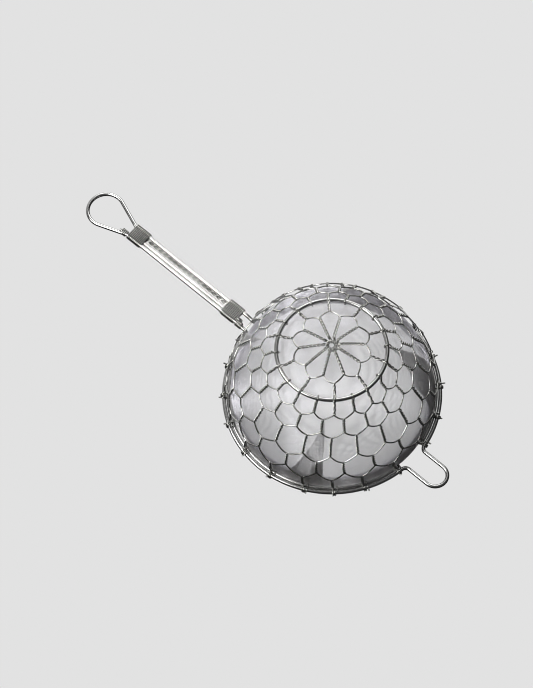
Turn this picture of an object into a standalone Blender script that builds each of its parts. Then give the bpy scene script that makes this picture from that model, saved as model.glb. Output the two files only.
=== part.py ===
"""A double sieve strainer: a hand-woven wire net over a mesh bowl, held by one bent frame wire.

Metres, +Z up. The bowl stands dome up with its rim on the ground, as it is stored. The hook points
along +X and the handle along -X. Every piece hangs on an empty on the bowl's axis, so the shapes
below are worked out about that axis. Azimuths turn counter-clockwise from the hook, seen from above.
Polar angles go from the crown (0) to the rim (90 degrees).
"""

from math import asin, cos, degrees, pi, radians, sin, sqrt

import bpy
from mathutils import Vector

MM = 0.001

# Wires. A wire's radius is that of the circle through its edges; a rod's flat face is nearer.
FRAME_WIRE_RADIUS = 1.1 * MM
INNER_RING_WIRE_RADIUS = 1.0 * MM
FOOT_RING_WIRE_RADIUS = 1.1 * MM
MIDDLE_ROD_RADIUS = 1.05 * MM
TWIST_WIRE_RADIUS = 0.5 * MM
CENTRE_RING_WIRE_RADIUS = 0.5 * MM
NET_WIRE_RADIUS = 0.36 * MM
WRAP_WIRE_DIAMETER = 0.65 * MM
FLAT_FACE_SHARE = cos(pi / 8)  # of a wire's radius, on its eight sides
TOUCH_GAP = 0.15 * MM  # between pieces that touch on the real object

# Rim, hook and handle, on the frame wire's centre line.
RIM_RADIUS = 58.9 * MM
RIM_HEIGHT = FRAME_WIRE_RADIUS * FLAT_FACE_SHARE
INNER_RING_RADIUS = 56.6 * MM
INNER_RING_END = 9.0  # degrees from the hook, where the open ring stops
HOOK_REACH = 81.2 * MM  # from the bowl's axis to the wire's outer side
HOOK_HALF_WIDTH = 6.6 * MM
HOOK_BEND_RADIUS = 3.0 * MM
HANDLE_REACH = 182.8 * MM
HANDLE_HEIGHT = 2.1 * MM
HANDLE_HALF_WIDTH = 3.55 * MM
HANDLE_BEND_RADIUS = 3.0 * MM
HANDLE_RISE_LENGTH = 6.0 * MM
LOOP_RADIUS = 10.3 * MM

# Collars, middle rod and twisted pair along the handle, as distances from the bowl's axis.
BOWL_COLLAR = (68.2 * MM, 79.0 * MM)
TIP_COLLAR = (139.9 * MM, 151.0 * MM)
MIDDLE_ROD = (65.5 * MM, 150.4 * MM)
MIDDLE_ROD_SIDE = -1.2 * MM
TWIST = (70.0 * MM, 149.0 * MM)
TWIST_SIDE = 1.25 * MM
TWIST_OFFSET = 0.58 * MM
TWIST_TURN = 7.4 * MM
TWIST_STEPS = 8
FRAME_END = 73.5 * MM  # where the frame wire's ends meet, inside the bowl collar
FRAME_END_GAP = 0.4 * MM

# The dome that the net lies on, and the sieve under it.
RIM_WRAP_RADIUS = FRAME_WIRE_RADIUS + NET_WIRE_RADIUS + TOUCH_GAP
NET_DOME = {"radius": 57.9 * MM, "height": 58.5 * MM, "base": 2.0 * MM, "power": 2.1}
SIEVE_DOME = {"radius": 55.2 * MM, "height": 54.2 * MM, "base": 0.6 * MM, "power": 2.35}
SIEVE_THICKNESS = 0.3 * MM
SIEVE_RINGS = 9
SIEVE_SIDES = 44

# The net. Columns of twists sit at every 18 degrees; the twists step half a column each level.
COLUMN_STEP = 18.0
HAIRPINS = 10
FIRST_SPOKE = 9.0
HALF_PAIR = NET_WIRE_RADIUS + TOUCH_GAP / 2
SPOKE_TWIST = (5.5, 11.0, 17.0)
CROWN_TWIST = (21.0, 25.0)
RING_TWIST_END = 35.6
LEVELS = ((39.7, 45.6, 1), (49.2, 60.0, 0), (64.5, 71.2, 1), (78.5, 86.5, 0))
CENTRE_RING_RADIUS = 2.5 * MM
CENTRE_RING_HEIGHT = 59.1 * MM
FOOT_RING_RADIUS = 29.2 * MM
FOOT_RING_HEIGHT = 54.2 * MM
FOOT_RING_SIDES = 36
FOOT_WRAP_RADIUS = FOOT_RING_WIRE_RADIUS + NET_WIRE_RADIUS + TOUCH_GAP
FOOT_WRAP_ANGLES = (150.0, 105.0, 60.0)
RIM_WRAP_ANGLES = (125.0, 80.0, 30.0, -20.0)

# The net is woven by hand: its columns lean. Degrees at each polar angle, for azimuths 36 degrees
# apart from the first one; a point between two angles takes a smooth mix of them.
LEAN_FIRST_AZIMUTH = -171.0
LEAN_STEP = 36.0
LEANS = (
    (24.0, (0.0, 0.0, 0.0, 0.0, 0.0, 0.0, 0.0, 0.0, 0.0, 0.0)),
    (33.0, (-1.0, -2.0, -2.5, -0.5, -1.0, -3.0, 0.0, 0.0, 0.0, 0.0)),
    (43.0, (-1.0, -2.0, -2.7, -1.3, -3.7, -5.0, -2.2, -1.0, -0.3, -1.0)),
    (55.0, (-1.0, -1.0, -2.0, -2.7, -5.5, -6.0, -6.5, -2.0, -0.3, -1.0)),
    (68.0, (-1.0, -1.5, -2.2, -2.5, -6.5, -7.0, -6.0, -2.0, -0.3, -1.0)),
    (80.0, (-1.0, -2.0, -2.5, -1.3, -5.2, -4.0, -3.0, -1.0, -0.3, -1.0)),
    (90.0, (0.0, -2.0, -3.0, -0.7, -4.7, 0.0, -1.0, 0.0, 0.0, 0.0)),
)

# How finely the pieces are built: degrees between two points of a curve.
RING_STEP = 7.5
BEND_STEP = 22.5
COLLAR_STEP = 30.0
SHARP_ANGLE = 40.0  # an edge that turns by more than this is shaded as a corner
AXIS_MERGE = 0.01 * MM  # joins the points that the sieve's turn leaves on the axis

BOWL_X = (HANDLE_REACH - HOOK_REACH) / 2


def clear_scene():
    for obj in list(bpy.data.objects):
        bpy.data.objects.remove(obj)


def steel(name, colour, roughness):
    material = bpy.data.materials.new(name)
    material.use_nodes = True
    shader = material.node_tree.nodes["Principled BSDF"]
    shader.inputs["Base Color"].default_value = (*colour, 1.0)
    shader.inputs["Metallic"].default_value = 1.0
    shader.inputs["Roughness"].default_value = roughness
    return material


def polished_steel(name):
    return steel(name, colour=(0.78, 0.78, 0.77), roughness=0.16)


def drawn_steel(name):
    return steel(name, colour=(0.62, 0.62, 0.61), roughness=0.28)


def mesh_steel(name):
    return steel(name, colour=(0.66, 0.65, 0.66), roughness=0.45)


def arc(centre, radius, start, end, step):
    """Points of a level arc, both ends included; angles in degrees."""
    count = max(1, round(abs(end - start) / step))
    points = []
    for i in range(count + 1):
        angle = radians(start + (end - start) * i / count)
        points.append(Vector((centre[0] + radius * cos(angle), centre[1] + radius * sin(angle), centre[2])))
    return points


def add_wire(axis, name, points, radius, material, sides=8, closed=False):
    """A wire along the points, with flat faces turned up and down, and flat ends."""
    curve = bpy.data.curves.new(name, "CURVE")
    curve.dimensions = "3D"
    curve.twist_mode = "Z_UP"
    curve.bevel_depth = radius
    curve.bevel_resolution = (sides - 4) // 2
    curve.use_fill_caps = True
    spline = curve.splines.new("POLY")
    spline.points.add(len(points) - 1)
    for target, point in zip(spline.points, points):
        target.co = (*point, 1.0)
        target.tilt = pi / sides
    spline.use_cyclic_u = closed
    spline.use_smooth = True
    curve.materials.append(material)
    obj = bpy.data.objects.new(name, curve)
    obj.parent = axis
    bpy.context.scene.collection.objects.link(obj)
    return obj


def add_mesh(axis, name, vertices, edges, faces, material):
    mesh = bpy.data.meshes.new(name)
    mesh.from_pydata(vertices, edges, faces)
    mesh.materials.append(material)
    obj = bpy.data.objects.new(name, mesh)
    obj.parent = axis
    bpy.context.scene.collection.objects.link(obj)
    return obj


def mirrored(points):
    """The same path on the other side of the handle's line, run the other way."""
    return [Vector((point.x, -point.y, point.z)) for point in reversed(points)]


def frame_half():
    """The frame wire's +Y half: from the middle of the hook's end, round the rim, to the handle's loop."""
    hook_centre = (HOOK_REACH - FRAME_WIRE_RADIUS - HOOK_HALF_WIDTH, 0.0, RIM_HEIGHT)
    points = arc(hook_centre, HOOK_HALF_WIDTH, 0.0, 90.0, BEND_STEP)
    hook_bend_y = HOOK_HALF_WIDTH + HOOK_BEND_RADIUS
    hook_bend_x = sqrt((RIM_RADIUS + HOOK_BEND_RADIUS) ** 2 - hook_bend_y**2)
    hook_turn = degrees(asin(hook_bend_y / (RIM_RADIUS + HOOK_BEND_RADIUS)))
    bend_centre = (hook_bend_x, hook_bend_y, RIM_HEIGHT)
    points += arc(bend_centre, HOOK_BEND_RADIUS, -90.0, -180.0 + hook_turn, BEND_STEP)

    handle_bend_y = HANDLE_HALF_WIDTH + HANDLE_BEND_RADIUS
    handle_bend_x = -sqrt((RIM_RADIUS + HANDLE_BEND_RADIUS) ** 2 - handle_bend_y**2)
    handle_turn = degrees(asin(handle_bend_y / (RIM_RADIUS + HANDLE_BEND_RADIUS)))
    rim = arc((0.0, 0.0, RIM_HEIGHT), RIM_RADIUS, hook_turn, 180.0 - handle_turn, RING_STEP)
    points += rim[1:]
    bend_centre = (handle_bend_x, handle_bend_y, RIM_HEIGHT)
    points += arc(bend_centre, HANDLE_BEND_RADIUS, -handle_turn, -90.0, BEND_STEP)[1:]
    points.append(Vector((handle_bend_x - HANDLE_RISE_LENGTH, HANDLE_HALF_WIDTH, HANDLE_HEIGHT)))
    return points


def loop_half():
    """The end loop's +Y half, from where it leaves the tip collar to the handle's tip."""
    centre_x = -(HANDLE_REACH - FRAME_WIRE_RADIUS - LOOP_RADIUS)
    neck = Vector((-TIP_COLLAR[1], HANDLE_HALF_WIDTH, HANDLE_HEIGHT))
    away = Vector((neck.x - centre_x, neck.y))
    tangent_angle = degrees(asin(away.y / away.length)) + degrees(pi / 2 - asin(LOOP_RADIUS / away.length))
    return [neck] + arc((centre_x, 0.0, HANDLE_HEIGHT), LOOP_RADIUS, tangent_angle, 180.0, BEND_STEP)


def add_frame_wire(axis):
    """One wire: hook, rim, both outer rods and the end loop. Its ends meet inside the bowl collar."""
    rod_end = Vector((-FRAME_END, -HANDLE_HALF_WIDTH, HANDLE_HEIGHT))
    gap = Vector((FRAME_END_GAP, 0.0, 0.0))
    near_half = frame_half()
    points = [rod_end + gap] + mirrored(near_half) + near_half[1:]
    points += loop_half() + mirrored(loop_half())[1:] + [rod_end]
    add_wire(axis, "frame_wire", points, FRAME_WIRE_RADIUS, polished_steel("frame_wire"))


def add_inner_ring(axis):
    """The second rim wire, an open ring whose ends stop at the hook."""
    height = INNER_RING_WIRE_RADIUS * FLAT_FACE_SHARE
    centre = (0.0, 0.0, height)
    points = arc(centre, INNER_RING_RADIUS, INNER_RING_END, 360.0 - INNER_RING_END, RING_STEP)
    add_wire(axis, "inner_rim_ring", points, INNER_RING_WIRE_RADIUS, polished_steel("inner_rim_ring"))


def dome_point(dome, polar):
    """(radius, height) on a rounded dome, at a polar angle in degrees."""
    across = sin(radians(polar)) / dome["radius"]
    upward = cos(radians(polar)) / dome["height"]
    reach = (across ** dome["power"] + upward ** dome["power"]) ** (-1 / dome["power"])
    return reach * sin(radians(polar)), dome["base"] + reach * cos(radians(polar))


def add_sieve(axis):
    """The mesh bowl as a thin closed skin, open at the rim."""
    polars = [90.0 * i / SIEVE_RINGS for i in range(SIEVE_RINGS + 1)]
    inner_dome = dict(SIEVE_DOME)
    inner_dome["radius"] -= SIEVE_THICKNESS
    inner_dome["height"] -= SIEVE_THICKNESS
    outside = [dome_point(SIEVE_DOME, polar) for polar in polars]
    inside = [dome_point(inner_dome, polar) for polar in reversed(polars)]
    profile = [(radius, 0.0, height) for radius, height in outside + inside]
    edges = [(i, i + 1) for i in range(len(profile) - 1)]
    sieve = add_mesh(axis, "sieve_bowl", profile, edges, [], mesh_steel("sieve_bowl"))
    turn = sieve.modifiers.new("turn", "SCREW")
    turn.steps = SIEVE_SIDES
    turn.render_steps = SIEVE_SIDES
    turn.use_merge_vertices = True
    turn.merge_threshold = AXIS_MERGE
    turn.use_smooth_shade = True


def add_foot_ring(axis):
    """The ring under the net's crown. It becomes the foot when the bowl is turned over."""
    step = 360.0 / FOOT_RING_SIDES
    points = arc((0.0, 0.0, FOOT_RING_HEIGHT), FOOT_RING_RADIUS, 0.0, 360.0, step)[:-1]
    material = polished_steel("foot_ring")
    add_wire(axis, "foot_ring", points, FOOT_RING_WIRE_RADIUS, material, closed=True)


def add_centre_ring(axis):
    """The small ring that the net's spokes hang on."""
    points = arc((0.0, 0.0, CENTRE_RING_HEIGHT), CENTRE_RING_RADIUS, 0.0, 360.0, BEND_STEP)[:-1]
    material = drawn_steel("centre_ring")
    add_wire(axis, "centre_ring", points, CENTRE_RING_WIRE_RADIUS, material, sides=6, closed=True)


def place(azimuth, radius, height, sideways):
    """A point at an azimuth in degrees, moved sideways along the bowl's round."""
    angle = radians(azimuth)
    outward = Vector((cos(angle), sin(angle), 0.0))
    around = Vector((-sin(angle), cos(angle), 0.0))
    return outward * radius + around * sideways + Vector((0.0, 0.0, height))


def mixed(first, second, share):
    """A smooth mix: the first value at share 0 and the second at share 1."""
    share = min(1.0, max(0.0, share))
    return first + (second - first) * share * share * (3 - 2 * share)


def leaned(azimuth, polar):
    """The azimuth that a column's point really has, with the hand-woven net's lean."""
    steps = ((azimuth - LEAN_FIRST_AZIMUTH) % 360.0) / LEAN_STEP
    before = int(steps)
    after = (before + 1) % len(LEANS[0][1])
    lean = 0.0
    for (upper, upper_leans), (lower, lower_leans) in zip(LEANS, LEANS[1:]):
        if polar >= upper:
            down = (polar - upper) / (lower - upper)
            above = mixed(upper_leans[before], upper_leans[after], steps - before)
            below = mixed(lower_leans[before], lower_leans[after], steps - before)
            lean = mixed(above, below, down)
    return azimuth + lean


def on_net(azimuth, polar, sideways):
    return place(leaned(azimuth, polar), *dome_point(NET_DOME, polar), sideways)


def over_wire(azimuth, wire, wrap_radius, angle, sideways):
    """A point on a strand bent over a ring's wire; the angle turns from outside (0) to the top (90)."""
    radius = wire[0] + wrap_radius * cos(radians(angle))
    height = wire[1] + wrap_radius * sin(radians(angle))
    return place(azimuth, radius, height, sideways)


def over_foot_ring(azimuth, angle, sideways):
    return over_wire(azimuth, (FOOT_RING_RADIUS, FOOT_RING_HEIGHT), FOOT_WRAP_RADIUS, angle, sideways)


def over_rim(azimuth, angle, sideways):
    return over_wire(leaned(azimuth, 90.0), (RIM_RADIUS, RIM_HEIGHT), RIM_WRAP_RADIUS, angle, sideways)


def lower_strand(column, side):
    """One strand from the foot ring's twist to the rim. It twists in turn with a strand of its own
    column and with one of the column half a step to its side."""
    points = [on_net(column, RING_TWIST_END, side * HALF_PAIR)]
    for start, end, stepped in LEVELS:
        azimuth = column + stepped * side * COLUMN_STEP / 2
        sideways = side * HALF_PAIR * (-1 if stepped else 1)
        points += [on_net(azimuth, start, sideways), on_net(azimuth, end, sideways)]
    return points + [over_rim(column, angle, side * HALF_PAIR) for angle in RIM_WRAP_ANGLES]


def crown_strand(spoke, side):
    """Half of a hairpin folded over the centre ring: a spoke, then the next column, then the rim."""
    crest = CENTRE_RING_HEIGHT + CENTRE_RING_WIRE_RADIUS + NET_WIRE_RADIUS + TOUCH_GAP
    points = [place(spoke, CENTRE_RING_RADIUS, crest, side * HALF_PAIR)]
    points += [on_net(spoke, polar, side * HALF_PAIR) for polar in SPOKE_TWIST]
    column = spoke + side * COLUMN_STEP
    points += [on_net(column, polar, -side * HALF_PAIR) for polar in CROWN_TWIST]
    points.append(over_foot_ring(column, FOOT_WRAP_ANGLES[-1], -side * HALF_PAIR))
    return points + lower_strand(column, -side)


def skirt_strand(column, side):
    """Half of a hairpin folded over the foot ring."""
    fold = [over_foot_ring(column, angle, side * HALF_PAIR) for angle in FOOT_WRAP_ANGLES]
    return fold + lower_strand(column, side)


def add_net(axis):
    """Twenty bent wires. Each is a hairpin: ten hang on the centre ring and ten on the foot ring."""
    for i in range(HAIRPINS):
        azimuth = FIRST_SPOKE + 2 * COLUMN_STEP * i
        for name, strand in (("crown_wire", crown_strand), ("skirt_wire", skirt_strand)):
            points = list(reversed(strand(azimuth, -1))) + strand(azimuth, 1)
            piece = f"{name}_{i + 1:02d}"
            add_wire(axis, piece, points, NET_WIRE_RADIUS, drawn_steel(piece), sides=4)


def add_middle_rod(axis):
    points = [Vector((-x, MIDDLE_ROD_SIDE, HANDLE_HEIGHT)) for x in MIDDLE_ROD]
    add_wire(axis, "middle_rod", points, MIDDLE_ROD_RADIUS, polished_steel("middle_rod"))


def add_twisted_pair(axis):
    """Two wires wound round each other beside the middle rod."""
    steps = round((TWIST[1] - TWIST[0]) / TWIST_TURN * TWIST_STEPS)
    for name, phase in (("twist_wire_a", 0.0), ("twist_wire_b", pi)):
        points = []
        for i in range(steps + 1):
            angle = phase + 2 * pi * i / TWIST_STEPS
            x = -TWIST[0] - TWIST_TURN * i / TWIST_STEPS
            y = TWIST_SIDE + TWIST_OFFSET * cos(angle)
            z = HANDLE_HEIGHT + TWIST_OFFSET * sin(angle)
            points.append(Vector((x, y, z)))
        add_wire(axis, name, points, TWIST_WIRE_RADIUS, drawn_steel(name), sides=6)


def stadium(half_width, radius):
    """A flat oval's outline across the handle: (sideways, upward) points."""
    outline = []
    for centre, start in ((half_width, -90.0), (-half_width, 90.0)):
        end = arc((centre, 0.0, 0.0), radius, start, start + 180.0, COLLAR_STEP)
        outline += [(point.x, point.y) for point in end]
    return outline


def add_collar(axis, name, span):
    """A close coil of thin wire round the handle's rods, as one sleeve."""
    inner_radius = FRAME_WIRE_RADIUS + TOUCH_GAP
    inner = stadium(HANDLE_HALF_WIDTH, inner_radius)
    outer = stadium(HANDLE_HALF_WIDTH, inner_radius + WRAP_WIRE_DIAMETER)
    loops = [(inner, span[0]), (outer, span[0]), (outer, span[1]), (inner, span[1])]
    vertices = [(-x, y, HANDLE_HEIGHT + z) for outline, x in loops for y, z in outline]
    count = len(inner)
    faces = []
    for loop in range(len(loops)):
        this = loop * count
        following = (loop + 1) % len(loops) * count
        for i in range(count):
            j = (i + 1) % count
            faces.append((this + i, following + i, following + j, this + j))
    collar = add_mesh(axis, name, vertices, [], faces, drawn_steel(name))
    collar.data.shade_smooth()
    collar.data.set_sharp_from_angle(angle=radians(SHARP_ANGLE))


def main():
    clear_scene()
    axis = bpy.data.objects.new("bowl_axis", None)
    axis.location.x = BOWL_X
    bpy.context.scene.collection.objects.link(axis)
    add_frame_wire(axis)
    add_inner_ring(axis)
    add_sieve(axis)
    add_foot_ring(axis)
    add_centre_ring(axis)
    add_net(axis)
    add_middle_rod(axis)
    add_twisted_pair(axis)
    add_collar(axis, "bowl_collar", BOWL_COLLAR)
    add_collar(axis, "tip_collar", TIP_COLLAR)


main()
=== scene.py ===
"""The looks of the double sieve strainer: round wires, real twists, a woven mesh and close coils.

Metres, in the CAD model's frame. Azimuths turn counter-clockwise from the rest hook, seen from above,
and polar angles go from the crown (0) to the rim (90), both in degrees and about the bowl's axis.
"""

from math import asin, atan2, cos, degrees, pi, radians, sin, sqrt

import bpy
import numpy as np
from mathutils import Matrix, Vector


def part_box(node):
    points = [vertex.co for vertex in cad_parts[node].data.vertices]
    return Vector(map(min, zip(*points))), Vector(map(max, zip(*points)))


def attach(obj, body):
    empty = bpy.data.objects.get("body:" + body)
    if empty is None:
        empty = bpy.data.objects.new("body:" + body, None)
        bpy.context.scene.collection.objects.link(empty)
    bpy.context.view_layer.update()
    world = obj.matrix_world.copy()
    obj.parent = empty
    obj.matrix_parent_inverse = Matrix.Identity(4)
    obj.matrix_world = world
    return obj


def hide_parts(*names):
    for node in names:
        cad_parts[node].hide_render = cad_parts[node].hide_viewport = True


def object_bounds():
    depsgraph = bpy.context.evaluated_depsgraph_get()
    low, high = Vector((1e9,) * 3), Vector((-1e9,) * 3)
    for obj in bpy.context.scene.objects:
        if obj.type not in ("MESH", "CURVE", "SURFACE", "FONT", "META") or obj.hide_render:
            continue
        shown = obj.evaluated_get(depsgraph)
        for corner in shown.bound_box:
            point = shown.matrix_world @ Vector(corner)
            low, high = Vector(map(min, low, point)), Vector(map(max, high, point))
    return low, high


MM = 0.001

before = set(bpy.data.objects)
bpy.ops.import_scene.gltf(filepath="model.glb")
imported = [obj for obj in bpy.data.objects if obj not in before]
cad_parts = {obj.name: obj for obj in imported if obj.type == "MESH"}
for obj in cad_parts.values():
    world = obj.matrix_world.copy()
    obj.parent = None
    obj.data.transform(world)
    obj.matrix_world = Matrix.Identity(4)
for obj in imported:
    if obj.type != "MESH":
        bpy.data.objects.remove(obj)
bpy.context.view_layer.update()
sieve_low, sieve_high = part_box("sieve_bowl")
frame_low, frame_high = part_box("frame_wire")
inner_low, inner_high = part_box("inner_rim_ring")
foot_low, foot_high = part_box("foot_ring")
centre_low, centre_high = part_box("centre_ring")
rod_low, rod_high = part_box("middle_rod")

# Wires, as radii.
FRAME_WIRE = 1.1 * MM
INNER_RING_WIRE = 1.0 * MM
FOOT_RING_WIRE = 1.1 * MM
ROD_WIRE = 1.05 * MM
TWIST_WIRE = 0.5 * MM
CENTRE_RING_WIRE = 0.45 * MM
NET_WIRE = 0.42 * MM
TWIST_REACH = 0.5 * MM  # from a net twist's axis to the middle of either strand
COIL_WIRE = 0.44 * MM
MESH_WIRE = 0.072 * MM
HUG = 0.02 * MM  # left between two wires that lie on each other

# How finely wires are built.
ROD_SIDES = 20
SMALL_SIDES = 12
THIN_SIDES = 8
MESH_SIDES = 4
RIM_STEP = 2.0  # degrees of arc
BEND_STEP = 6.0
RISE_STEPS = 8
PAIR_STEPS = 260
COIL_STEPS = 36  # for each turn
TAIL_STEPS = 20
SLOPE_STEP = 0.1  # degrees of polar angle, to find which way a dome slopes

# A cut end's bevel, as shares of the wire's radius, and the turn that is shaded as a sharp edge.
TIP_BEVEL = 0.3
TIP_RADIUS = 0.72
SHARP_EDGE = 50.0

# Where things are, from the CAD model.
BOWL_X = (sieve_low.x + sieve_high.x) / 2
RIM_RADIUS = (frame_high.y - frame_low.y) / 2 - FRAME_WIRE
RIM_HEIGHT = FRAME_WIRE
INNER_RING_RADIUS = (inner_high.y - inner_low.y) / 2 - INNER_RING_WIRE
INNER_RING_HEIGHT = INNER_RING_WIRE
FOOT_RING_RADIUS = (foot_high.y - foot_low.y) / 2 - FOOT_RING_WIRE
FOOT_RING_HEIGHT = (foot_low.z + foot_high.z) / 2
CENTRE_RING_RADIUS = (centre_high.y - centre_low.y) / 2 - CENTRE_RING_WIRE
CENTRE_RING_HEIGHT = (centre_low.z + centre_high.z) / 2
HOOK_REACH = frame_high.x - BOWL_X
HANDLE_REACH = BOWL_X - frame_low.x
HANDLE_HEIGHT = (rod_low.z + rod_high.z) / 2

# Bends of the frame wire and the inner ring.
INNER_RING_END = 9.0
HOOK_HALF_WIDTH = 6.6 * MM
HOOK_BEND = 3.0 * MM
HANDLE_HALF_WIDTH = 3.55 * MM
HANDLE_BEND = 3.0 * MM
HANDLE_RISE = 6.0 * MM
LOOP_RADIUS = 10.3 * MM
FRAME_END = 73.5 * MM  # from the bowl's axis, where the wire's two ends meet inside the collar
FRAME_END_GAP = 0.2 * MM
TWIST_SIDE = 1.25 * MM
TWIST_OFFSET = 0.55 * MM
TWIST_TURN = 7.4 * MM
COIL_PITCH = 1.05 * MM
TAIL_TURNS = 4  # of a collar's wire round one outer rod alone
TAIL_HALF_WIDTH = 0.01 * MM

# The domes that the net and the mesh lie on.
NET_DOME = {"radius": 57.9 * MM, "height": 58.5 * MM, "base": 2.0 * MM, "power": 2.1}
SIEVE_DOME = {"radius": 55.0 * MM, "height": 54.0 * MM, "base": 0.6 * MM, "power": 2.35}

# The net: twists at columns 18 degrees apart that step half a column at each level. A twist is the
# polar angles where it starts and ends, then its turns; a level also says whether it steps.
COLUMN_STEP = 18.0
HAIRPINS = 10
FIRST_SPOKE = 9.0
SPOKE_TWIST = (4.2, 17.2, 3.25)
CROWN_TWIST = (20.6, 36.6, 3.5)
RING_TWIST = (31.6, 36.8, 2.0)
LEVELS = ((39.2, 46.0, 1, 2.5), (49.0, 60.8, 0, 3.0), (64.5, 72.2, 1, 2.5), (78.5, 85.5, 0, 2.5))
KINK_EASE = 0.13 * MM  # how far a bend in a strand is rounded off
EASE_SIGMA = 2.0  # of the rounding, in its own steps
EASE_SPAN = 6
NET_TWIST_STEPS = 22  # for each turn
LEAST_TWIST_STEPS = 12
OPEN_RUN_STEPS = 13
ROUND_BEND = 1.75  # how fast a single strand leaves its twist: as it turns, or against that
CORNER_BEND = 1.15
# The spokes turn aside near the centre ring, by this much at first and less from here down.
SWIRL = 14.0
SWIRL_TOP = 2.0
SWIRL_FADE = 2.6
# The net is woven by hand: its columns lean. Degrees at each polar angle, for these azimuths.
LEAN_AZIMUTHS = (-171.0, -135.0, -99.0, -63.0, -27.0, 9.0, 45.0, 81.0, 117.0, 153.0)
LEANS = (
    (24.0, (0.0, 0.0, 0.0, 0.0, 0.0, 0.0, 0.0, 0.0, 0.0, 0.0)),
    (33.0, (-1.0, -2.0, -2.5, -0.5, -1.0, -3.0, 0.0, 0.0, 0.0, 0.0)),
    (43.0, (-1.0, -2.0, -2.7, -1.3, -3.7, -5.0, -2.2, -1.0, -0.3, -1.0)),
    (55.0, (-1.0, -1.0, -2.0, -2.7, -5.5, -6.0, -6.5, -2.0, -0.3, -1.0)),
    (68.0, (-1.0, -1.5, -2.2, -2.5, -6.5, -7.0, -6.0, -2.0, -0.3, -1.0)),
    (80.0, (-1.0, -2.0, -2.5, -1.3, -5.2, -4.0, -3.0, -1.0, -0.3, -1.0)),
    (90.0, (0.0, -2.0, -3.0, -0.7, -4.7, 0.0, -1.0, 0.0, 0.0, 0.0)),
)
# Where the net rises over the foot ring: polar angle, height and half width in degrees.
RING_CROSSING_POLAR = 29.0
RING_CROSSING_RISE = 1.9 * MM
RING_CROSSING_WIDTH = 2.4
RIM_WRAP_SLANT = 0.9 * MM
TIP_POKE = 1.5 * MM  # how far a cut end stands off the rim
# The angles round a wire, outside (0) over the top (90), where each bend starts and ends, then steps.
OVER_RIM = (115.0, -90.0), 18
UNDER_INNER_RING = (-90.0, -270.0), 14
BACK_OVER_RIM = (85.0, 48.0), 4
TIP_OFF_RIM = (34.0, 30.0), 1
CENTRE_FOLD = (320.0, 40.0), 16
FOOT_FOLD = (330.0, 30.0), 16
NET_MARKS_APART = 40.0  # between two wires' drawing marks, in millimetres along them

# The mesh: plain weave of about 46 wires to the inch, turned to run along and across this azimuth.
MESH_PITCH = 0.55 * MM
MESH_AZIMUTH = 131.0
MESH_BANDS = 4
MESH_LAYER = 0.3 * MM  # between the layers of a fold
MESH_MARKS_APART = 9.0
REACH_ROWS = 721  # in the table of distances along the cloth

# Where the cloth is pleated: each pleat has a straight edge, and widens towards the rim up to a limit. Its
# extra layers are drawn in a darker copy of the mesh steel, as painted shade.
# (straight edge's azimuth, top, bottom, degrees of width for each degree down, widest)
PLEATS = (
    (-53.5, 37.0, 90.0, 0.47, 20.0),
    (49.0, 33.0, 90.0, 1.3, 24.0),
    (124.0, 40.0, 90.0, 0.5, 18.0),
    (205.0, 40.0, 90.0, 0.45, 16.0),
)
# The tucks, and the hem from HEM_POLAR down to the rim, get extra layers too, in the darker copy of the
# mesh steel: painted shade.
TUCKS = ((-53.5, 64.0, 90.0, 1.2, 7.0), (46.0, 68.0, 90.0, 3.0, 14.0))
HEM_POLAR = 79.5


def unit(vectors):
    return vectors / np.linalg.norm(vectors, axis=-1, keepdims=True)


def smooth_share(x):
    """A share from 0 to 1 that starts and stops gently."""
    x = np.clip(x, 0.0, 1.0)
    return x * x * (3 - 2 * x)


# Wires as meshes ---------------------------------------------------------------------------------


def tangents_of(points, closed):
    if closed:
        return unit(np.roll(points, -1, axis=0) - np.roll(points, 1, axis=0))
    return unit(np.gradient(points, axis=0))


def carried_normals(points, closed):
    """A normal carried along the path without twisting, started from the world's up."""
    tangents = tangents_of(points, closed)
    normal = np.array([0.0, 0.0, 1.0])
    if abs(tangents[0] @ normal) > 0.9:
        normal = np.array([1.0, 0.0, 0.0])
    normals = []
    for tangent in tangents:
        normal = unit(normal - tangent * (normal @ tangent))
        normals.append(normal)
    return np.array(normals)


def tube(points, radius, sides, closed=False, normals=None, start=0.0):
    """One round wire: (vertices, faces, strand). The strand is, at each vertex, the distance along the
    wire in millimetres and the direction round it, for the materials' drawing marks."""
    points = np.asarray(points, float)
    radii = np.full(len(points), radius)
    if not closed:
        inset = unit(points[[1, -2]] - points[[0, -1]]) * TIP_BEVEL * radius
        ends = points[:1], points[-1:]
        points = np.vstack([ends[0], ends[0] + inset[:1], points[1:-1], ends[1] + inset[1:], ends[1]])
        radii = np.full(len(points), radius)
        radii[[0, -1]] *= TIP_RADIUS
        if normals is not None:
            normals = np.vstack([normals[:1], normals, normals[-1:]])
    tangents = tangents_of(points, closed)
    if normals is None:
        normals = carried_normals(points, closed)
    normals = unit(normals - tangents * (normals * tangents).sum(axis=1, keepdims=True))
    binormals = np.cross(tangents, normals)
    angles = 2 * pi * (np.arange(sides) + 0.5) / sides
    along_normal = np.cos(angles)[None, :, None] * normals[:, None, :]
    along_binormal = np.sin(angles)[None, :, None] * binormals[:, None, :]
    around = along_normal + along_binormal
    vertices = (points[:, None, :] + radii[:, None, None] * around).reshape(-1, 3)

    index = np.arange(len(points) * sides).reshape(len(points), sides)
    onward = np.roll(index, -1, axis=0) if closed else index[1:]
    here = index if closed else index[:-1]
    corners = [here, np.roll(here, -1, axis=1), np.roll(onward, -1, axis=1), onward]
    faces = np.stack(corners, axis=-1).reshape(-1, 4).tolist()
    if not closed:
        faces += [index[0][::-1].tolist(), index[-1].tolist()]

    steps = np.linalg.norm(np.diff(points, axis=0), axis=1)
    along = start + np.concatenate([[0.0], np.cumsum(steps)]) / MM
    strand = np.empty((len(points), sides, 3))
    strand[:, :, 0] = along[:, None]
    strand[:, :, 1] = np.cos(angles)[None, :]
    strand[:, :, 2] = np.sin(angles)[None, :]
    return vertices, faces, strand.reshape(-1, 3)


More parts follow.
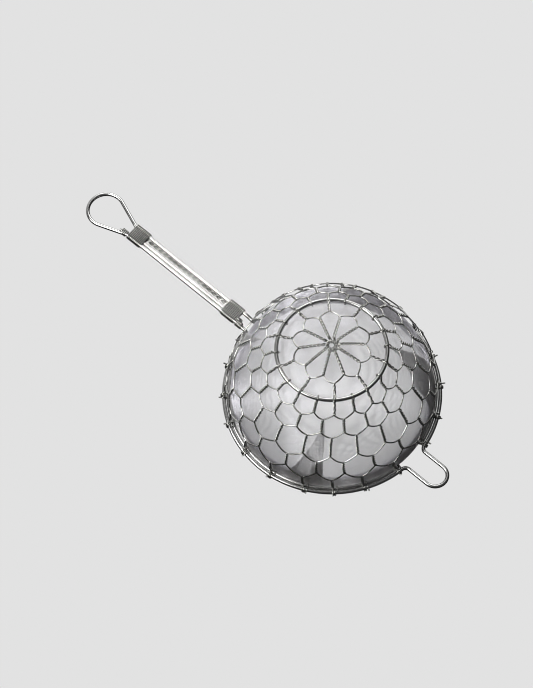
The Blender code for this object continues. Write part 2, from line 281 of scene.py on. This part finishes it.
def add_piece(name, tubes, material, slot, *nodes, sharp=True):
    """A piece made of wires, about the bowl's axis, that stands for CAD nodes."""
    vertices, faces, strands, count = [], [], [], 0
    for points, corners, strand in tubes:
        vertices.append(points)
        strands.append(strand)
        faces += [[i + count for i in corner] for corner in corners]
        count += len(points)
    mesh = bpy.data.meshes.new(name)
    mesh.from_pydata(np.vstack(vertices), [], faces)
    mesh.attributes.new("strand", "FLOAT_VECTOR", "POINT").data.foreach_set(
        "vector", np.vstack(strands).astype(np.float32).ravel()
    )
    mesh.shade_smooth()
    if sharp:
        mesh.set_sharp_from_angle(angle=radians(SHARP_EDGE))
    mesh.materials.append(material)
    piece = bpy.data.objects.new(name, mesh)
    piece.location.x = BOWL_X
    bpy.context.scene.collection.objects.link(piece)
    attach(piece, "root")
    if nodes:
        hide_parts(*nodes)
    return piece


# Paths -------------------------------------------------------------------------------------------


def arc(centre, radius, start, end, step=3.0):
    """Points of a level arc, both ends included; angles in degrees."""
    count = max(2, round(abs(end - start) / step))
    angles = np.radians(np.linspace(start, end, count + 1))
    x = centre[0] + radius * np.cos(angles)
    y = centre[1] + radius * np.sin(angles)
    return np.stack([x, y, np.full_like(x, centre[2])], axis=1)


def line(start, end, step=2.0 * MM):
    """Points of a straight run, without its two ends."""
    start, end = np.asarray(start, float), np.asarray(end, float)
    count = max(2, round(np.linalg.norm(end - start) / step))
    shares = np.arange(1, count) / count
    return start + (end - start) * shares[:, None]


def joined(*runs):
    return np.vstack([np.atleast_2d(np.asarray(run, float)) for run in runs])


def mirrored(points):
    """The path's mirror image across y = 0, from its far end back."""
    return points[::-1] * np.array([1.0, -1.0, 1.0])


def eased(points, spread):
    """The path evened out to equal steps and smoothed over a distance."""
    steps = np.linalg.norm(np.diff(points, axis=0), axis=1)
    distance = np.concatenate([[0.0], np.cumsum(steps)])
    count = max(8, int(distance[-1] / (spread / 2)))
    even = np.linspace(0.0, distance[-1], count + 1)
    points = np.stack([np.interp(even, distance, points[:, k]) for k in range(3)], axis=1)
    kernel = np.exp(-0.5 * (np.arange(-EASE_SPAN, EASE_SPAN + 1) / EASE_SIGMA) ** 2)
    kernel /= kernel.sum()
    before = 2 * points[0] - points[EASE_SPAN:0:-1]
    after = 2 * points[-1] - points[-2 : -2 - EASE_SPAN : -1]
    padded = np.vstack([before, points, after])
    return np.stack([np.convolve(padded[:, k], kernel, mode="valid") for k in range(3)], axis=1)


def dome_point(dome, polar):
    """(radius, height) on a rounded dome."""
    angle = np.radians(polar)
    across = np.abs(np.sin(angle)) / dome["radius"]
    upward = np.abs(np.cos(angle)) / dome["height"]
    reach = (across ** dome["power"] + upward ** dome["power"]) ** (-1 / dome["power"])
    return reach * np.sin(angle), dome["base"] + reach * np.cos(angle)


def dome_frame(dome, azimuth, polar):
    """(place, around, outward) at points of a dome, each an array of rows."""
    azimuth, polar = np.broadcast_arrays(np.asarray(azimuth, float), np.asarray(polar, float))
    radius, height = dome_point(dome, polar)
    ahead_radius, ahead_height = dome_point(dome, polar + SLOPE_STEP)
    angle = np.radians(azimuth)
    zero = np.zeros_like(radius)
    out = np.stack([np.cos(angle), np.sin(angle), zero], axis=-1)
    around = np.stack([-np.sin(angle), np.cos(angle), zero], axis=-1)
    up = np.array([0.0, 0.0, 1.0])
    downhill = unit(out * (ahead_radius - radius)[..., None] + up * (ahead_height - height)[..., None])
    outward = np.cross(downhill, around)
    return out * radius[..., None] + up * height[..., None], around, outward


# Frame wire, rings and rods ----------------------------------------------------------------------


def frame_half():
    """The frame wire's +Y half, from the hook's end round the rim to the handle's outer rod."""
    hook_centre = (HOOK_REACH - FRAME_WIRE - HOOK_HALF_WIDTH, 0.0, RIM_HEIGHT)
    hook_end = arc(hook_centre, HOOK_HALF_WIDTH, 0.0, 90.0)
    bend_y = HOOK_HALF_WIDTH + HOOK_BEND
    bend_x = sqrt((RIM_RADIUS + HOOK_BEND) ** 2 - bend_y**2)
    turn = degrees(asin(bend_y / (RIM_RADIUS + HOOK_BEND)))
    hook_bend = arc((bend_x, bend_y, RIM_HEIGHT), HOOK_BEND, -90.0, -180.0 + turn, BEND_STEP)
    hook_leg = line(hook_end[-1], hook_bend[0])

    handle_y = HANDLE_HALF_WIDTH + HANDLE_BEND
    handle_x = -sqrt((RIM_RADIUS + HANDLE_BEND) ** 2 - handle_y**2)
    handle_turn = degrees(asin(handle_y / (RIM_RADIUS + HANDLE_BEND)))
    rim = arc((0.0, 0.0, RIM_HEIGHT), RIM_RADIUS, turn, 180.0 - handle_turn, RIM_STEP)
    bend_centre = (handle_x, handle_y, RIM_HEIGHT)
    handle_bend = arc(bend_centre, HANDLE_BEND, -handle_turn, -90.0, BEND_STEP)
    risen = np.array([handle_x - HANDLE_RISE, HANDLE_HALF_WIDTH, HANDLE_HEIGHT])
    level = np.arange(1, RISE_STEPS + 1)[:, None] / RISE_STEPS
    rise = handle_bend[-1] + (risen - handle_bend[-1]) * np.hstack([level, level, smooth_share(level)])
    return joined(hook_end, hook_leg, hook_bend, rim[1:-1], handle_bend, rise)


def loop_half(neck_x):
    """The hanging loop's +Y half, from the tip collar to the handle's tip."""
    centre_x = -(HANDLE_REACH - FRAME_WIRE - LOOP_RADIUS)
    neck = np.array([neck_x, HANDLE_HALF_WIDTH, HANDLE_HEIGHT])
    away_x = neck_x - centre_x
    away = sqrt(away_x**2 + HANDLE_HALF_WIDTH**2)
    tangent = degrees(atan2(HANDLE_HALF_WIDTH, away_x)) + degrees(pi / 2 - asin(LOOP_RADIUS / away))
    round_end = arc((centre_x, 0.0, HANDLE_HEIGHT), LOOP_RADIUS, tangent, 180.0)
    return joined(neck, line(neck, round_end[0]), round_end)


def add_frame_wire(material):
    """One bent wire: rim, hook, both outer rods and the loop. Its ends meet inside the bowl collar."""
    tip_low, tip_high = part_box("tip_collar")
    neck_x = tip_low.x - BOWL_X
    near = frame_half()
    loop = loop_half(neck_x)
    rod = line(near[-1], loop[0])
    end = np.array([-FRAME_END, -HANDLE_HALF_WIDTH, HANDLE_HEIGHT])
    other_rod = line(mirrored(loop)[-1], end)
    start = end + np.array([FRAME_END_GAP, 0.0, 0.0])
    first_rod = line(start, mirrored(near)[0])
    points = joined(first_rod, mirrored(near), near[1:], rod, loop, mirrored(loop)[1:], other_rod, end)
    wire = tube(points, FRAME_WIRE, ROD_SIDES)
    add_piece("frame_wire_round", [wire], material, "polished_wire", "frame_wire")


def add_rings(polished, drawn):
    """The open inner ring at the rim, the foot ring, and the small ring at the crown."""
    centre = (0.0, 0.0, INNER_RING_HEIGHT)
    inner = arc(centre, INNER_RING_RADIUS, INNER_RING_END, 360.0 - INNER_RING_END, RIM_STEP)
    ring = tube(inner, INNER_RING_WIRE, ROD_SIDES)
    add_piece("inner_rim_ring_round", [ring], polished, "polished_wire", "inner_rim_ring")
    foot = arc((0.0, 0.0, FOOT_RING_HEIGHT), FOOT_RING_RADIUS, 0.0, 360.0)[:-1]
    ring = tube(foot, FOOT_RING_WIRE, ROD_SIDES, closed=True)
    add_piece("foot_ring_round", [ring], polished, "polished_wire", "foot_ring")
    small = arc((0.0, 0.0, CENTRE_RING_HEIGHT), CENTRE_RING_RADIUS, 0.0, 360.0, 10.0)[:-1]
    ring = tube(small, CENTRE_RING_WIRE, SMALL_SIDES, closed=True)
    add_piece("centre_ring_round", [ring], drawn, "net_wire", "centre_ring")


def add_rods(polished, drawn):
    """The middle rod and the twisted pair beside it."""
    side = (rod_low.y + rod_high.y) / 2
    ends = [(rod_high.x - BOWL_X, side, HANDLE_HEIGHT), (rod_low.x - BOWL_X, side, HANDLE_HEIGHT)]
    rod = joined(ends[0], line(*ends, step=4.0 * MM), ends[1])
    wire = tube(rod, ROD_WIRE, ROD_SIDES)
    add_piece("middle_rod_round", [wire], polished, "polished_wire", "middle_rod")
    pair_low, pair_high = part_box("twist_wire_a")
    start, end = pair_high.x - BOWL_X, pair_low.x - BOWL_X
    x = np.linspace(start, end, PAIR_STEPS)
    for name, phase in (("a", 0.0), ("b", pi)):
        angle = phase + 2 * pi * (start - x) / TWIST_TURN
        y = TWIST_SIDE + TWIST_OFFSET * np.cos(angle)
        z = HANDLE_HEIGHT + TWIST_OFFSET * np.sin(angle)
        wire = tube(np.stack([x, y, z], axis=1), TWIST_WIRE, SMALL_SIDES)
        add_piece(f"twist_wire_{name}_round", [wire], drawn, "wrap_wire", f"twist_wire_{name}")


def flat_coil(start_x, end_x, half_width, reach, steps):
    """A coil wound round a flat oval: its turns go round the handle's rods."""
    turns = abs(end_x - start_x) / COIL_PITCH
    count = int(turns * steps)
    share = np.arange(count + 1) / steps
    perimeter = 2 * pi * reach + 4 * half_width
    distance = (share % 1.0) * perimeter
    x = start_x + (end_x - start_x) * np.arange(count + 1) / count
    half_arc = pi * reach
    y = np.empty_like(distance)
    z = np.empty_like(distance)
    for i, d in enumerate(distance):
        if d < 2 * half_width:
            y[i], z[i] = -half_width + d, reach
        elif d < 2 * half_width + half_arc:
            angle = pi / 2 - (d - 2 * half_width) / reach
            y[i], z[i] = half_width + reach * cos(angle), reach * sin(angle)
        elif d < 4 * half_width + half_arc:
            y[i], z[i] = half_width - (d - 2 * half_width - half_arc), -reach
        else:
            angle = -pi / 2 - (d - 4 * half_width - half_arc) / reach
            y[i], z[i] = -half_width + reach * cos(angle), reach * sin(angle)
    return np.stack([x, y, HANDLE_HEIGHT + z], axis=1)


def add_collars(material):
    """Close coils of thin wire. Each ends in a few turns round one outer rod alone."""
    reach = FRAME_WIRE + HUG + COIL_WIRE
    for node, tail in (("bowl_collar", 1), ("tip_collar", -1)):
        low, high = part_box(node)
        start, end = high.x - BOWL_X - COIL_WIRE, low.x - BOWL_X + COIL_WIRE
        turns = flat_coil(start, end, HANDLE_HALF_WIDTH, reach, COIL_STEPS)
        tail_start = (start if tail > 0 else end) + tail * 2 * COIL_WIRE
        tail_end = tail_start + tail * TAIL_TURNS * COIL_PITCH
        tail_turns = flat_coil(tail_start, tail_end, TAIL_HALF_WIDTH, reach, TAIL_STEPS)
        tail_turns[:, 1] -= HANDLE_HALF_WIDTH
        tubes = [tube(coil, COIL_WIRE, THIN_SIDES) for coil in (turns, tail_turns)]
        add_piece(f"{node}_coil", tubes, material, "wrap_wire", node)


# The net -----------------------------------------------------------------------------------------


def twist_run(azimuth, start, end, turns, side):
    """A strand twisted with its neighbour down a column: rows of azimuth, polar, sideways, outward."""
    count = max(LEAST_TWIST_STEPS, int(turns * NET_TWIST_STEPS))
    share = np.linspace(0.0, 1.0, count + 1)
    phase = -2 * pi * turns * share
    azimuths = np.full_like(share, azimuth)
    polars = start + (end - start) * share
    sideways = side * TWIST_REACH * np.cos(phase)
    outward = side * TWIST_REACH * np.sin(phase)
    return np.stack([azimuths, polars, sideways, outward], axis=1)


def open_run(before, after):
    """A single strand from the end of one twist to the start of the next. One that runs on in the
    twist's sense leaves it in a round bend; the other leaves at a corner."""
    share = np.linspace(0.0, 1.0, OPEN_RUN_STEPS + 1)[1:-1, None]
    row = before + (after - before) * share
    bend = ROUND_BEND if after[0] > before[0] else CORNER_BEND
    row[:, 1] = before[1] + (after[1] - before[1]) * (1 - (1 - share[:, 0]) ** bend)
    return row


def chained(runs):
    """The twists of one strand, with the single runs between them."""
    rows = [runs[0]]
    for run in runs[1:]:
        rows += [open_run(rows[-1][-1], run[0]), run]
    return np.vstack(rows)


def leaned(azimuth, polar):
    """The azimuths that a column's points really have: the net is woven by hand, and its columns lean."""
    azimuth, polar = np.broadcast_arrays(np.asarray(azimuth, float), np.asarray(polar, float))
    steps = ((azimuth - LEAN_AZIMUTHS[0]) % 360.0) / (LEAN_AZIMUTHS[1] - LEAN_AZIMUTHS[0])
    before = steps.astype(int)
    beside = smooth_share(steps - before)
    after = (before + 1) % len(LEAN_AZIMUTHS)
    lean = np.zeros_like(azimuth)
    for (upper, upper_leans), (lower, lower_leans) in zip(LEANS, LEANS[1:]):
        upper_leans, lower_leans = np.array(upper_leans), np.array(lower_leans)
        above = upper_leans[before] + (upper_leans[after] - upper_leans[before]) * beside
        below = lower_leans[before] + (lower_leans[after] - lower_leans[before]) * beside
        down = smooth_share((polar - upper) / (lower - upper))
        lean = np.where(polar >= upper, above + (below - above) * down, lean)
    return azimuth + lean


def on_net(rows):
    """The rows' places on the net's dome. The net rises over the foot ring where it crosses it."""
    place, around, outward = dome_frame(NET_DOME, leaned(rows[:, 0], rows[:, 1]), rows[:, 1])
    rise = RING_CROSSING_RISE * np.exp(-(((rows[:, 1] - RING_CROSSING_POLAR) / RING_CROSSING_WIDTH) ** 2))
    return place + around * rows[:, 2:3] + outward * (rows[:, 3] + rise)[:, None]


def lower_runs(column, side):
    """From the foot ring to the rim: twists with its own column, then with the one beside, in turn."""
    runs = []
    for start, end, stepped, turns in LEVELS:
        azimuth = column + stepped * side * COLUMN_STEP / 2
        runs.append(twist_run(azimuth, start, end, turns, -side if stepped else side))
    return runs


def around_ring(azimuth, ring, reach, bend, lanes):
    """Points of a strand bent round the wire of a ring, which is (radius, height). The bend is its
    angles and steps, and the lanes are where the strand starts and ends sideways."""
    angles, steps = bend
    share = np.linspace(0.0, 1.0, steps + 1)
    angle = np.radians(angles[0] + (angles[1] - angles[0]) * share)
    sideways = lanes[0] + (lanes[1] - lanes[0]) * share
    radius = ring[0] + reach * np.cos(angle)
    height = ring[1] + reach * np.sin(angle)
    turn = radians(azimuth)
    x = radius * cos(turn) - sideways * sin(turn)
    y = radius * sin(turn) + sideways * cos(turn)
    return np.stack([x, y, height], axis=1)


def rim_end(azimuth, side, poke):
    """A strand's end: over the outer rim wire, under both wires, up inside and over the top again."""
    reach = FRAME_WIRE + NET_WIRE + HUG
    inner_reach = INNER_RING_WIRE + NET_WIRE + HUG
    lane = side * (NET_WIRE + HUG)
    slanted = lane + RIM_WRAP_SLANT
    away = slanted + 2 * NET_WIRE * (1 if side > 0 else -1)
    rim = (RIM_RADIUS, RIM_HEIGHT)
    inner = (INNER_RING_RADIUS, INNER_RING_HEIGHT)
    over = around_ring(azimuth, rim, reach, OVER_RIM, (lane, slanted))
    under = around_ring(azimuth, inner, inner_reach, UNDER_INNER_RING, (slanted, away))
    back = around_ring(azimuth, rim, reach, BACK_OVER_RIM, (away, away))
    if not poke:
        return joined(over, under, back[:2])
    tip = around_ring(azimuth, rim, reach + TIP_POKE, TIP_OFF_RIM, (away, away))
    return joined(over, under, back, tip)


def finished_strand(rows, column, side, poke):
    """A strand's rows as points, with its end wound round the rim. One of each pair pokes out."""
    dome_part = eased(on_net(rows), KINK_EASE)
    return joined(dome_part[:-2], rim_end(float(leaned(column, 90.0)), side, poke))


def crown_half(spoke, side):
    """Half of a hairpin that hangs on the centre ring: a spoke, the next column, then down to the rim."""
    spoke_run = twist_run(spoke, *SPOKE_TWIST, side)
    column = spoke + side * COLUMN_STEP
    runs = [spoke_run, twist_run(column, *CROWN_TWIST, -side), *lower_runs(column, -side)]
    rows = chained(runs)
    rows[:, 0] -= SWIRL * (1 - smooth_share((rows[:, 1] - SWIRL_TOP) / SWIRL_FADE))
    return finished_strand(rows, column, -side, side > 0)


def skirt_half(column, side):
    """Half of a hairpin that hangs on the foot ring."""
    rows = chained([twist_run(column, *RING_TWIST, side), *lower_runs(column, side)])
    return finished_strand(rows, column, side, side > 0)


def add_net(material):
    """Twenty bent wires. Each is a hairpin: ten hang on the centre ring and ten on the foot ring."""
    lanes = (-(NET_WIRE + HUG), NET_WIRE + HUG)
    centre_ring = (CENTRE_RING_RADIUS, CENTRE_RING_HEIGHT)
    centre_reach = CENTRE_RING_WIRE + NET_WIRE + HUG
    foot_ring = (FOOT_RING_RADIUS, FOOT_RING_HEIGHT)
    foot_reach = FOOT_RING_WIRE + NET_WIRE + HUG
    for i in range(HAIRPINS):
        azimuth = FIRST_SPOKE + 2 * COLUMN_STEP * i
        crown_fold = around_ring(azimuth - SWIRL, centre_ring, centre_reach, CENTRE_FOLD, lanes)
        skirt_fold = around_ring(azimuth, foot_ring, foot_reach, FOOT_FOLD, lanes)
        kinds = (("crown_wire", crown_half, crown_fold), ("skirt_wire", skirt_half, skirt_fold))
        for name, half, fold in kinds:
            points = joined(half(azimuth, -1)[::-1], fold, half(azimuth, 1))
            points = eased(points, KINK_EASE)
            node = f"{name}_{i + 1:02d}"
            wire = tube(points, NET_WIRE, THIN_SIDES, start=NET_MARKS_APART * i)
            add_piece(f"{node}_twisted", [wire], material, "net_wire", node)


# The mesh bowl -----------------------------------------------------------------------------------


def polar_at_distance(dome):
    """A table that turns the distance from the crown along the cloth into a polar angle."""
    polars = np.linspace(0.0, 90.0, REACH_ROWS)
    radius, height = dome_point(dome, polars)
    steps = np.hypot(np.diff(radius), np.diff(height))
    return polars, np.concatenate([[0.0], np.cumsum(steps)])


def woven(dome, azimuth, inside, lift, phase, keep):
    """Plain-woven wires laid over a dome: a list of (points, normals), one for each wire kept.
    The cloth's flat plan keeps each point's azimuth and its distance from the crown."""
    polars, distances = polar_at_distance(dome)
    reach = distances[-1]
    count = int(reach / MESH_PITCH)
    lanes = np.arange(-count, count + 1)
    turn = radians(azimuth + 90.0 * phase)
    wires = []
    for lane in lanes[keep]:
        across = lane * MESH_PITCH
        along = lanes * MESH_PITCH
        x = across * cos(turn) - along * sin(turn)
        y = across * sin(turn) + along * cos(turn)
        distance = np.hypot(x, y)
        plan_azimuth = np.degrees(np.arctan2(y, x))
        polar = np.interp(distance, distances, polars)
        held = (distance < reach) & inside(plan_azimuth, polar)
        place, _, outward = dome_frame(dome, plan_azimuth, polar)
        weave = np.where((lane + lanes + phase) % 2 == 0, 1.0, -1.0) * MESH_WIRE
        place = place + outward * (weave + lift)[:, None]
        edges = np.flatnonzero(np.diff(np.concatenate([[0], held.astype(int), [0]])))
        for first, last in zip(edges[::2], edges[1::2]):
            if last - first > 2:  # two crossings are too short for a wire
                wires.append((place[first:last], outward[first:last]))
    return wires


def everywhere(azimuth, polar):
    """The whole bowl, down to the rim."""
    return polar <= 90.0


def in_folds(folds, azimuth, polar):
    """Which points lie inside any of the folds."""
    inside = np.zeros(azimuth.shape, bool)
    for edge, top, bottom, spread, widest in folds:
        width = np.clip(spread * (polar - top), 0.0, widest)
        inside |= ((edge - azimuth) % 360.0 < width) & (polar < bottom)
    return inside


def in_pleats(azimuth, polar):
    return in_folds(PLEATS, azimuth, polar)


def in_hem_or_tucks(azimuth, polar):
    return (polar > HEM_POLAR) | in_folds(TUCKS, azimuth, polar)


def add_cloth(name, turned, inside, lift, bands, material):
    """A layer of the bowl's cloth, in bands of wires each way."""
    for phase, way in enumerate(("warp", "weft")):
        for band in range(bands):
            lanes = slice(band, None, bands)
            wires = woven(SIEVE_DOME, MESH_AZIMUTH + turned, inside, lift, phase, lanes)
            tubes = []
            for i, (points, normals) in enumerate(wires):
                start = MESH_MARKS_APART * i
                tubes.append(tube(points, MESH_WIRE, MESH_SIDES, normals=normals, start=start))
            add_piece(f"{name}_{way}_{band + 1}", tubes, material, "woven_mesh", "sieve_bowl", sharp=False)


def add_sieve(cloth, fold_painted_shade_steel):
    """The bowl's cloth, with the extra layers of its pleats and of the hem at the rim. The extra layers
    are a darker copy of the mesh steel: painted shade in the folds.
    """
    add_cloth("sieve", 0.0, everywhere, 0.0, MESH_BANDS, cloth)
    add_cloth("sieve_pleats_outer", 9.0, in_pleats, MESH_LAYER, 1, fold_painted_shade_steel)
    add_cloth("sieve_pleats_inner", -13.0, in_pleats, -MESH_LAYER, 1, fold_painted_shade_steel)
    add_cloth("sieve_hem_outer", 24.0, in_hem_or_tucks, 2 * MESH_LAYER, 1, fold_painted_shade_steel)
    add_cloth("sieve_hem_inner", -31.0, in_hem_or_tucks, -2 * MESH_LAYER, 1, fold_painted_shade_steel)


# Materials ---------------------------------------------------------------------------------------


def steel(name, light, dark, roughness, mark_depth):
    """Drawn stainless steel: marks run along the wire, and the tone and gloss wander a little.
    Light and dark are the tone's two ends, and mark_depth is how deep the marks look."""
    material = bpy.data.materials.new(name)
    material.use_nodes = True
    nodes, links = material.node_tree.nodes, material.node_tree.links
    shader = nodes["Principled BSDF"]
    shader.inputs["Metallic"].default_value = 1.0

    strand = nodes.new("ShaderNodeAttribute")
    strand.attribute_name = "strand"
    stretch = nodes.new("ShaderNodeVectorMath")
    stretch.operation = "MULTIPLY"
    stretch.inputs[1].default_value = (0.12, 5.0, 5.0)
    links.new(strand.outputs["Vector"], stretch.inputs[0])
    marks = nodes.new("ShaderNodeTexNoise")
    marks.inputs["Scale"].default_value = 2.0
    marks.inputs["Detail"].default_value = 4.0
    links.new(stretch.outputs[0], marks.inputs["Vector"])

    place = nodes.new("ShaderNodeTexCoord")
    patches = nodes.new("ShaderNodeTexNoise")
    patches.inputs["Scale"].default_value = 90.0
    patches.inputs["Detail"].default_value = 3.0
    links.new(place.outputs["Object"], patches.inputs["Vector"])

    tone = nodes.new("ShaderNodeMix")
    tone.data_type = "RGBA"
    tone.inputs["A"].default_value = (*dark, 1.0)
    tone.inputs["B"].default_value = (*light, 1.0)
    spread = nodes.new("ShaderNodeMapRange")
    spread.inputs["From Min"].default_value = 0.35
    spread.inputs["From Max"].default_value = 0.65
    links.new(patches.outputs["Fac"], spread.inputs["Value"])
    links.new(spread.outputs["Result"], tone.inputs["Factor"])
    links.new(tone.outputs["Result"], shader.inputs["Base Color"])

    gloss = nodes.new("ShaderNodeMapRange")
    gloss.inputs["From Min"].default_value = 0.3
    gloss.inputs["From Max"].default_value = 0.7
    gloss.inputs["To Min"].default_value = roughness * 0.75
    gloss.inputs["To Max"].default_value = roughness * 1.3
    links.new(marks.outputs["Fac"], gloss.inputs["Value"])
    links.new(gloss.outputs["Result"], shader.inputs["Roughness"])

    relief = nodes.new("ShaderNodeBump")
    relief.inputs["Strength"].default_value = 0.5
    relief.inputs["Distance"].default_value = mark_depth
    links.new(marks.outputs["Fac"], relief.inputs["Height"])
    links.new(relief.outputs["Normal"], shader.inputs["Normal"])
    return material


# Camera, light and stage -------------------------------------------------------------------------

CAMERA_AZIMUTH = 41.85
CAMERA_ELEVATION = 64.5
CAMERA_ROLL = -0.3
CAMERA_DISTANCE = 1.2
CAMERA_LENS = 117.9
CAMERA_SENSOR = 36.0
LOOK_HEIGHT = 30.0 * MM
LOOK_RIGHT = -34.7 * MM
LOOK_UP = 13.7 * MM

# One broad glow in the dim studio, and how near its middle a direction has to be to see it.
BACKDROP_AZIMUTH = -120.0
BACKDROP_ELEVATION = -15.0
BACKDROP_EDGE = 0.2
BACKDROP_GLOW = 0.85

# The studio's tone at each height, as a share of the way from straight down to straight up.
STUDIO_TONES = (
    (0.3, (0.02, 0.02, 0.02)),
    (0.6, (0.03, 0.03, 0.03)),
    (1.0, (0.10, 0.10, 0.102)),
)

# Name, azimuth, elevation, distance, width, height (metres) and watts.
SOFTBOXES = (
    ("key", -30.0, 48.0, 1.2, 0.85, 0.8, 13.5),
    ("overhead", -138.0, 65.0, 1.2, 0.7, 0.7, 1.0),
    ("rear", -140.0, 35.0, 1.2, 0.9, 0.5, 5.0),
)

FLOOR_GREY = 0.7605
FLOOR_RADIUS = 2.4
FLOOR_CURVE = 0.8
WALL_TOP = 4.0
FLOOR_SIDES = 48


def from_bowl(azimuth, elevation):
    """The direction from the bowl to a viewer or a light. Azimuth 0 is -Y and 90 is +X."""
    a, e = radians(azimuth), radians(elevation)
    return Vector((sin(a) * cos(e), -cos(a) * cos(e), sin(e)))


def add_camera():
    """The camera, at the photograph's viewing angle."""
    back = from_bowl(CAMERA_AZIMUTH, CAMERA_ELEVATION)
    right = Vector((cos(radians(CAMERA_AZIMUTH)), sin(radians(CAMERA_AZIMUTH)), 0.0))
    up = back.cross(right)
    centre = Vector((BOWL_X, 0.0, LOOK_HEIGHT))
    data = bpy.data.cameras.new("camera")
    data.lens = CAMERA_LENS
    data.sensor_width = CAMERA_SENSOR
    data.clip_start = 0.01
    data.clip_end = 50.0
    camera = bpy.data.objects.new("camera", data)
    camera.location = centre + back * CAMERA_DISTANCE
    behind = (camera.location - centre - right * LOOK_RIGHT - up * LOOK_UP).normalized()
    sideways = up.cross(behind).normalized()
    facing = Matrix((sideways, behind.cross(sideways), behind)).transposed()
    roll = Matrix.Rotation(radians(CAMERA_ROLL), 3, "Z")
    camera.rotation_euler = (facing @ roll).to_euler()
    bpy.context.scene.collection.objects.link(camera)
    bpy.context.scene.camera = camera


def add_softbox(name, azimuth, elevation, distance, width, height, power):
    """A soft rectangular light that faces the bowl."""
    data = bpy.data.lights.new(name, "AREA")
    data.shape = "RECTANGLE"
    data.size = width
    data.size_y = height
    data.energy = power
    light = bpy.data.objects.new(name, data)
    direction = from_bowl(azimuth, elevation)
    light.location = Vector((BOWL_X, 0.0, LOOK_HEIGHT)) + direction * distance
    light.rotation_euler = (-direction).to_track_quat("-Z", "Y").to_euler()
    light.visible_camera = False
    bpy.context.scene.collection.objects.link(light)


def add_world():
    """A dim studio round the softboxes, lighter overhead than at the sides, with one broad glow."""
    world = bpy.data.worlds.new("studio")
    bpy.context.scene.world = world
    world.use_nodes = True
    nodes, links = world.node_tree.nodes, world.node_tree.links
    direction = nodes.new("ShaderNodeTexCoord")
    split = nodes.new("ShaderNodeSeparateXYZ")
    links.new(direction.outputs["Generated"], split.inputs[0])
    height = nodes.new("ShaderNodeMapRange")
    height.inputs["From Min"].default_value = -1.0
    height.inputs["From Max"].default_value = 1.0
    links.new(split.outputs["Z"], height.inputs["Value"])
    ramp = nodes.new("ShaderNodeValToRGB")
    stops = ramp.color_ramp.elements
    stops.new(STUDIO_TONES[1][0])
    for stop, (position, tone) in zip(stops, STUDIO_TONES):
        stop.position = position
        stop.color = (*tone, 1.0)
    links.new(height.outputs["Result"], ramp.inputs["Fac"])

    facing = nodes.new("ShaderNodeVectorMath")
    facing.operation = "DOT_PRODUCT"
    facing.inputs[1].default_value = from_bowl(BACKDROP_AZIMUTH, BACKDROP_ELEVATION)
    links.new(direction.outputs["Generated"], facing.inputs[0])
    glow = nodes.new("ShaderNodeMapRange")
    glow.interpolation_type = "SMOOTHSTEP"
    glow.inputs["From Min"].default_value = BACKDROP_EDGE
    glow.inputs["From Max"].default_value = 1.0
    glow.inputs["To Max"].default_value = BACKDROP_GLOW
    links.new(facing.outputs["Value"], glow.inputs["Value"])
    total = nodes.new("ShaderNodeVectorMath")
    total.operation = "ADD"
    links.new(ramp.outputs["Color"], total.inputs[0])
    links.new(glow.outputs["Result"], total.inputs[1])
    links.new(total.outputs["Vector"], nodes["Background"].inputs["Color"])


def add_stage():
    """A plain pale floor that curves up into walls. Reflections see the dim studio instead of it."""
    profile = [(0.0, 0.0), (FLOOR_RADIUS, 0.0)]
    for turned in range(10, 91, 10):
        a = radians(turned)
        profile.append((FLOOR_RADIUS + FLOOR_CURVE * sin(a), FLOOR_CURVE - FLOOR_CURVE * cos(a)))
    profile.append((FLOOR_RADIUS + FLOOR_CURVE, WALL_TOP))
    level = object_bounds()[0].z
    vertices = [(BOWL_X, 0.0, level)]
    for radius, height in profile[1:]:
        for k in range(FLOOR_SIDES):
            angle = 2 * pi * k / FLOOR_SIDES
            vertices.append((BOWL_X + radius * cos(angle), radius * sin(angle), level + height))
    faces = [(0, 1 + k, 1 + (k + 1) % FLOOR_SIDES) for k in range(FLOOR_SIDES)]
    for ring in range(len(profile) - 2):
        inner = 1 + ring * FLOOR_SIDES
        outer = inner + FLOOR_SIDES
        for k in range(FLOOR_SIDES):
            onward = (k + 1) % FLOOR_SIDES
            faces.append((inner + k, outer + k, outer + onward, inner + onward))
    mesh = bpy.data.meshes.new("floor")
    mesh.from_pydata(vertices, [], faces)
    material = bpy.data.materials.new("pale_floor")
    material.use_nodes = True
    nodes, links = material.node_tree.nodes, material.node_tree.links
    glow = nodes.new("ShaderNodeEmission")
    glow.inputs["Color"].default_value = (FLOOR_GREY, FLOOR_GREY, FLOOR_GREY, 1.0)
    links.new(glow.outputs[0], nodes["Material Output"].inputs["Surface"])
    mesh.materials.append(material)
    floor = bpy.data.objects.new("floor", mesh)
    floor.visible_glossy = False
    bpy.context.scene.collection.objects.link(floor)


def main():
    """All the pieces, then the camera, the light and the floor."""
    polished = steel("polished_steel", (0.58, 0.58, 0.57), (0.46, 0.46, 0.45), 0.2, 0.006 * MM)
    net = steel("net_steel", (0.6, 0.6, 0.58), (0.34, 0.34, 0.32), 0.12, 0.006 * MM)
    coil = steel("coil_steel", (0.62, 0.62, 0.6), (0.46, 0.46, 0.44), 0.14, 0.006 * MM)
    cloth = steel("mesh_steel", (0.93, 0.915, 0.965), (0.83, 0.815, 0.86), 0.32, 0.004 * MM)
    # Painted shade: a darker copy of the mesh steel for the extra layers of the pleats, tucks and hem.
    fold_painted_shade_steel = steel("fold_layers_painted_shade", (0.8, 0.79, 0.79), (0.68, 0.67, 0.67), 0.34, 0.004 * MM)
    add_frame_wire(polished)
    add_rings(polished, net)
    add_rods(polished, net)
    add_collars(coil)
    add_net(net)
    add_sieve(cloth, fold_painted_shade_steel)
    add_camera()
    add_world()
    for softbox in SOFTBOXES:
        add_softbox(*softbox)
    add_stage()
    bpy.context.scene.view_settings.view_transform = "Standard"
    bpy.context.scene.cycles.filter_width = 1.0


main()
